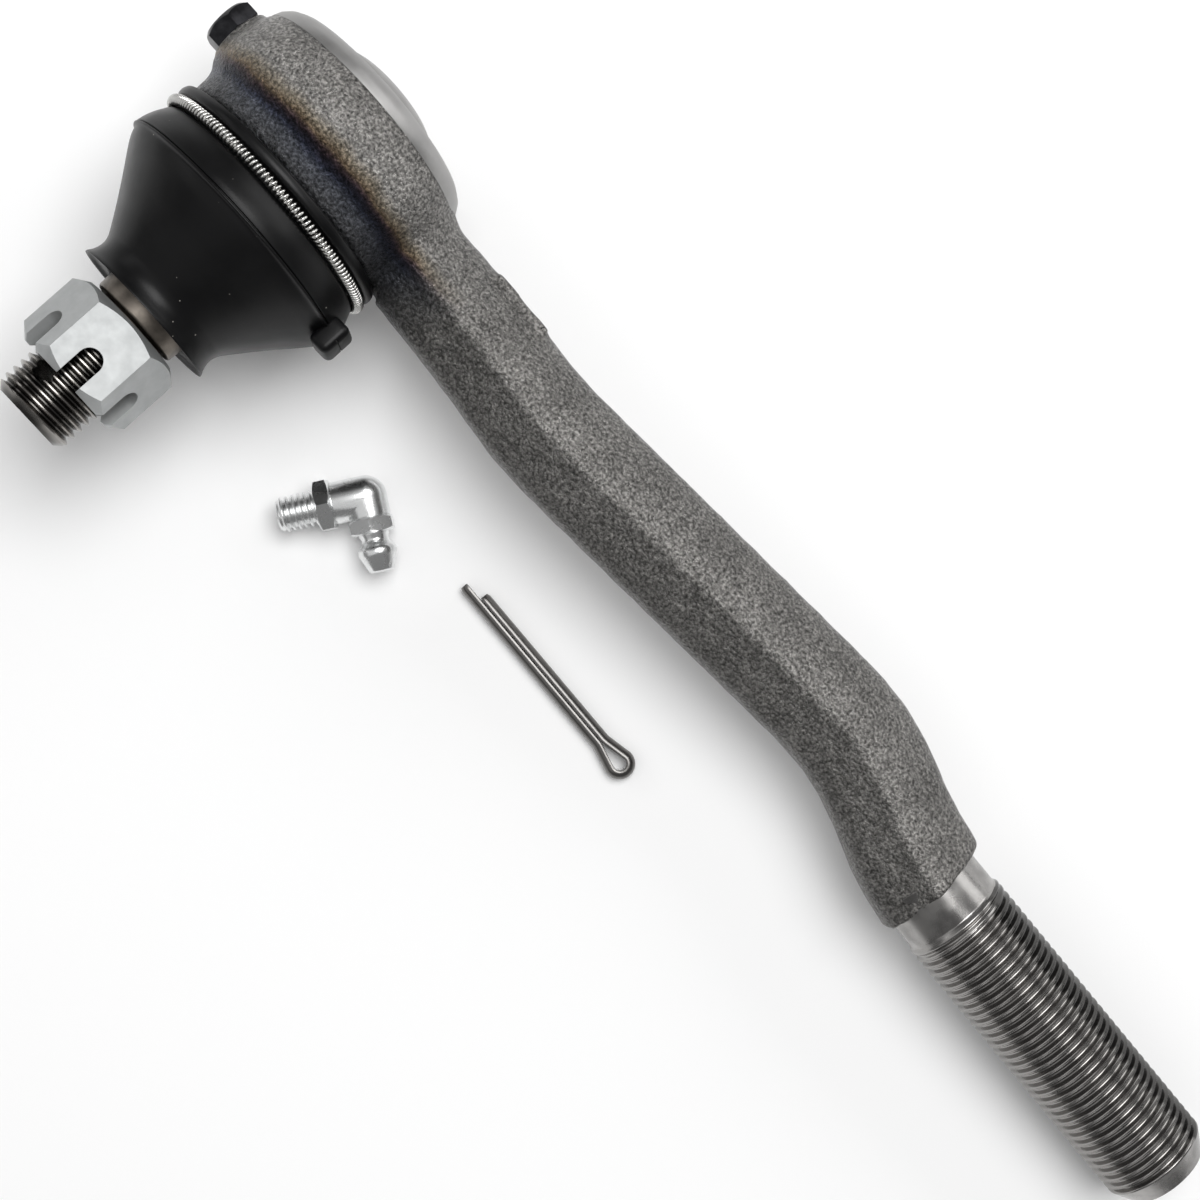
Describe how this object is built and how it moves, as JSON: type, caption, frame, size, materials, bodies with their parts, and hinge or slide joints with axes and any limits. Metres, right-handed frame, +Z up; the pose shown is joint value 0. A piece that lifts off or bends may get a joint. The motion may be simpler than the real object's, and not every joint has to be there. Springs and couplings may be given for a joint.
{
  "type": "tie rod end",
  "caption": "Cranked tie rod end with a threaded shank, a booted ball stud with castle nut and a domed cover, beside a loose cotter pin and elbow grease nipple.",
  "frame": {"origin": "centre of the ball", "axes": "+X along the arm towards the threaded shank, +Y along the stud axis from the stud's tip to the end cover, +Z up with the part lying on its side"},
  "size_m": [0.2362, 0.0761, 0.048],
  "materials": {
    "forged_steel": "rough as-forged and shot blasted, with turned rim, neck and rolled thread",
    "stud_steel": "turned and rolled steel",
    "bearing_resin": "moulded acetal resin",
    "spring_steel": "oiled spring steel",
    "cover_steel": "satin pressed steel",
    "boot_rubber": "matte-satin moulded rubber",
    "garter_steel": "bright drawn wire",
    "zinc_plate": "bright zinc plate",
    "black_oxide": "black oxide",
    "cotter_steel": "drawn steel wire",
    "nipple_zinc": "bright zinc plate"
  },
  "bodies": {
    "housing": {"forged_arm": "forged_steel", "end_cover": "cover_steel", "port_screw": "black_oxide", "preload_spring": "spring_steel", "dust_boot": "boot_rubber", "garter_spring": "garter_steel"},
    "bearing": {"lower_bearing": "bearing_resin"},
    "seat": {"pressure_seat": "bearing_resin"},
    "boot_lip": {"boot_lip_ring": "spring_steel"},
    "stud": {"ball_stud": "stud_steel"},
    "nut": {"castle_nut": "zinc_plate"},
    "cotter": {"cotter_pin": "cotter_steel"},
    "nipple": {"nipple_elbow": "nipple_zinc", "nipple_head": "nipple_zinc", "check_spring": "spring_steel"},
    "check": {"check_ball": "stud_steel"}
  },
  "joints": [
    {"name": "bearing_turn", "type": "hinge", "parent": "housing", "child": "bearing", "pos_m": [0, 0, 0], "axis": [0, 1, 0], "continuous": true},
    {"name": "seat_travel", "type": "slide", "parent": "bearing", "child": "seat", "axis": [0, 1, 0], "range_m": [0, 0.0004], "stiffness_N_per_m": 2000, "springref_m": -0.001, "deforming": ["preload_spring"]},
    {"name": "stud_swing", "type": "hinge", "parent": "bearing", "child": "boot_lip", "pos_m": [0, 0, 0], "axis": [0, 0, 1], "range_deg": [-18, 18], "deforming": ["dust_boot"]},
    {"name": "stud_spin", "type": "hinge", "parent": "boot_lip", "child": "stud", "pos_m": [0, 0, 0], "axis": [0, 1, 0], "continuous": true},
    {"name": "nut_travel", "type": "slide", "parent": "stud", "child": "nut", "axis": [0, -1, 0], "range_m": [0, 0.021]},
    {"name": "cotter_lift", "type": "slide", "parent": "housing", "child": "cotter", "axis": [-0.07, -0.131, 0.9889], "range_m": [0, 0.03]},
    {"name": "nipple_lift", "type": "slide", "parent": "housing", "child": "nipple", "axis": [-0.07, -0.131, 0.9889], "range_m": [0, 0.03]},
    {"name": "check_travel", "type": "slide", "parent": "nipple", "child": "check", "axis": [-0.8636, 0.5042, 0.0057], "range_m": [0, 0.0009], "stiffness_N_per_m": 60, "springref_m": -0.001, "deforming": ["check_spring"]}
  ]
}
